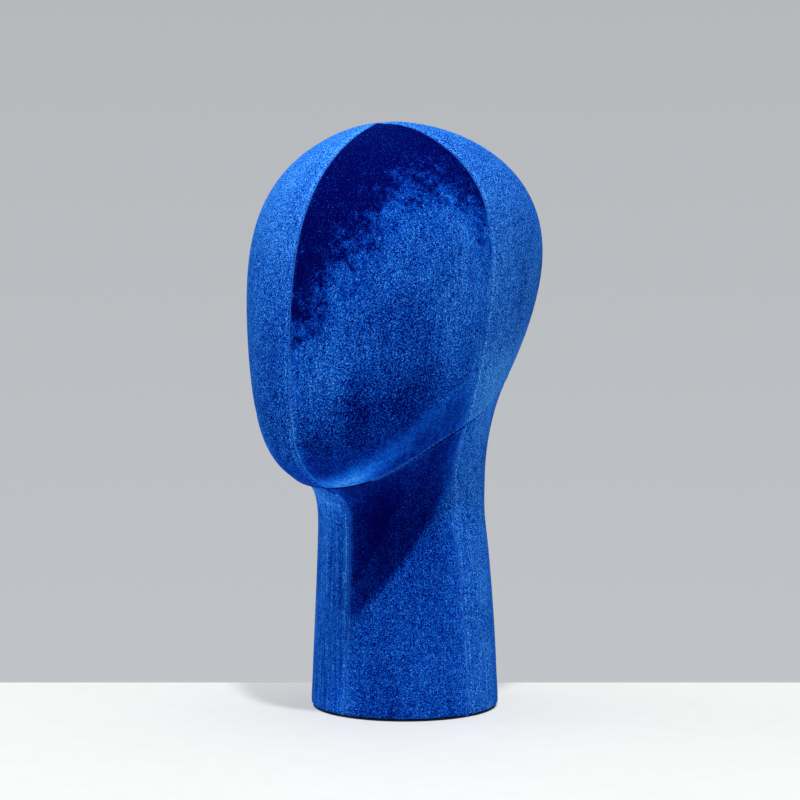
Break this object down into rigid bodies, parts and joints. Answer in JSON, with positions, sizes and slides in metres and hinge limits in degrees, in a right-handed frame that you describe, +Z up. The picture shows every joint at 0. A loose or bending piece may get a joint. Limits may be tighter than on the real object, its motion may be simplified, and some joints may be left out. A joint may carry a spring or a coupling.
{
  "type": "display head",
  "caption": "Faceless velvet-covered head on a round neck, free-standing, holding wigs, caps and hats on display.",
  "frame": {"origin": "centre of the neck's base, on the surface it stands on", "axes": "+Z up through the neck, face towards -Y, +X towards the head's left side"},
  "size_m": [0.1606, 0.206, 0.36],
  "materials": {
    "velvet": "royal-blue crushed velvet with a short shimmering pile",
    "thread": "matching blue polyester sewing thread",
    "lining_foam": "thin soft polyurethane foam",
    "shell_resin": "raw moulded glass-reinforced resin",
    "joint_tape": "resin-bonded glass tape",
    "plywood": "unfinished birch plywood",
    "ballast_steel": "hot-rolled steel plate",
    "fixing_steel": "zinc-plated steel",
    "base_pad": "closed-cell anti-slip foam sheet"
  },
  "bodies": {
    "root": {"face_cover_left": "velvet", "face_cover_right": "velvet", "back_cover_left": "velvet", "back_cover_right": "velvet", "neck_cover_front_left": "velvet", "neck_cover_front_right": "velvet", "neck_cover_back_left": "velvet", "neck_cover_back_right": "velvet", "hem_fold": "velvet", "face_seam_thread": "thread", "back_seam_thread": "thread", "side_seam_thread_left": "thread", "side_seam_thread_right": "thread", "jaw_seam_thread_left": "thread", "jaw_seam_thread_right": "thread", "neck_front_seam_thread": "thread", "neck_back_seam_thread": "thread", "neck_side_seam_thread_left": "thread", "neck_side_seam_thread_right": "thread", "crown_tack": "thread", "head_lining_left": "lining_foam", "head_lining_right": "lining_foam", "neck_lining_left": "lining_foam", "neck_lining_right": "lining_foam", "shell_left": "shell_resin", "shell_right": "shell_resin", "joint_tape_front": "joint_tape", "joint_tape_back": "joint_tape", "base_board": "plywood", "ballast_plate": "ballast_steel", "ballast_screws": "fixing_steel", "ballast_washers": "fixing_steel", "shell_screws": "fixing_steel", "hem_staples": "fixing_steel", "base_pad": "base_pad"}
  },
  "joints": []
}
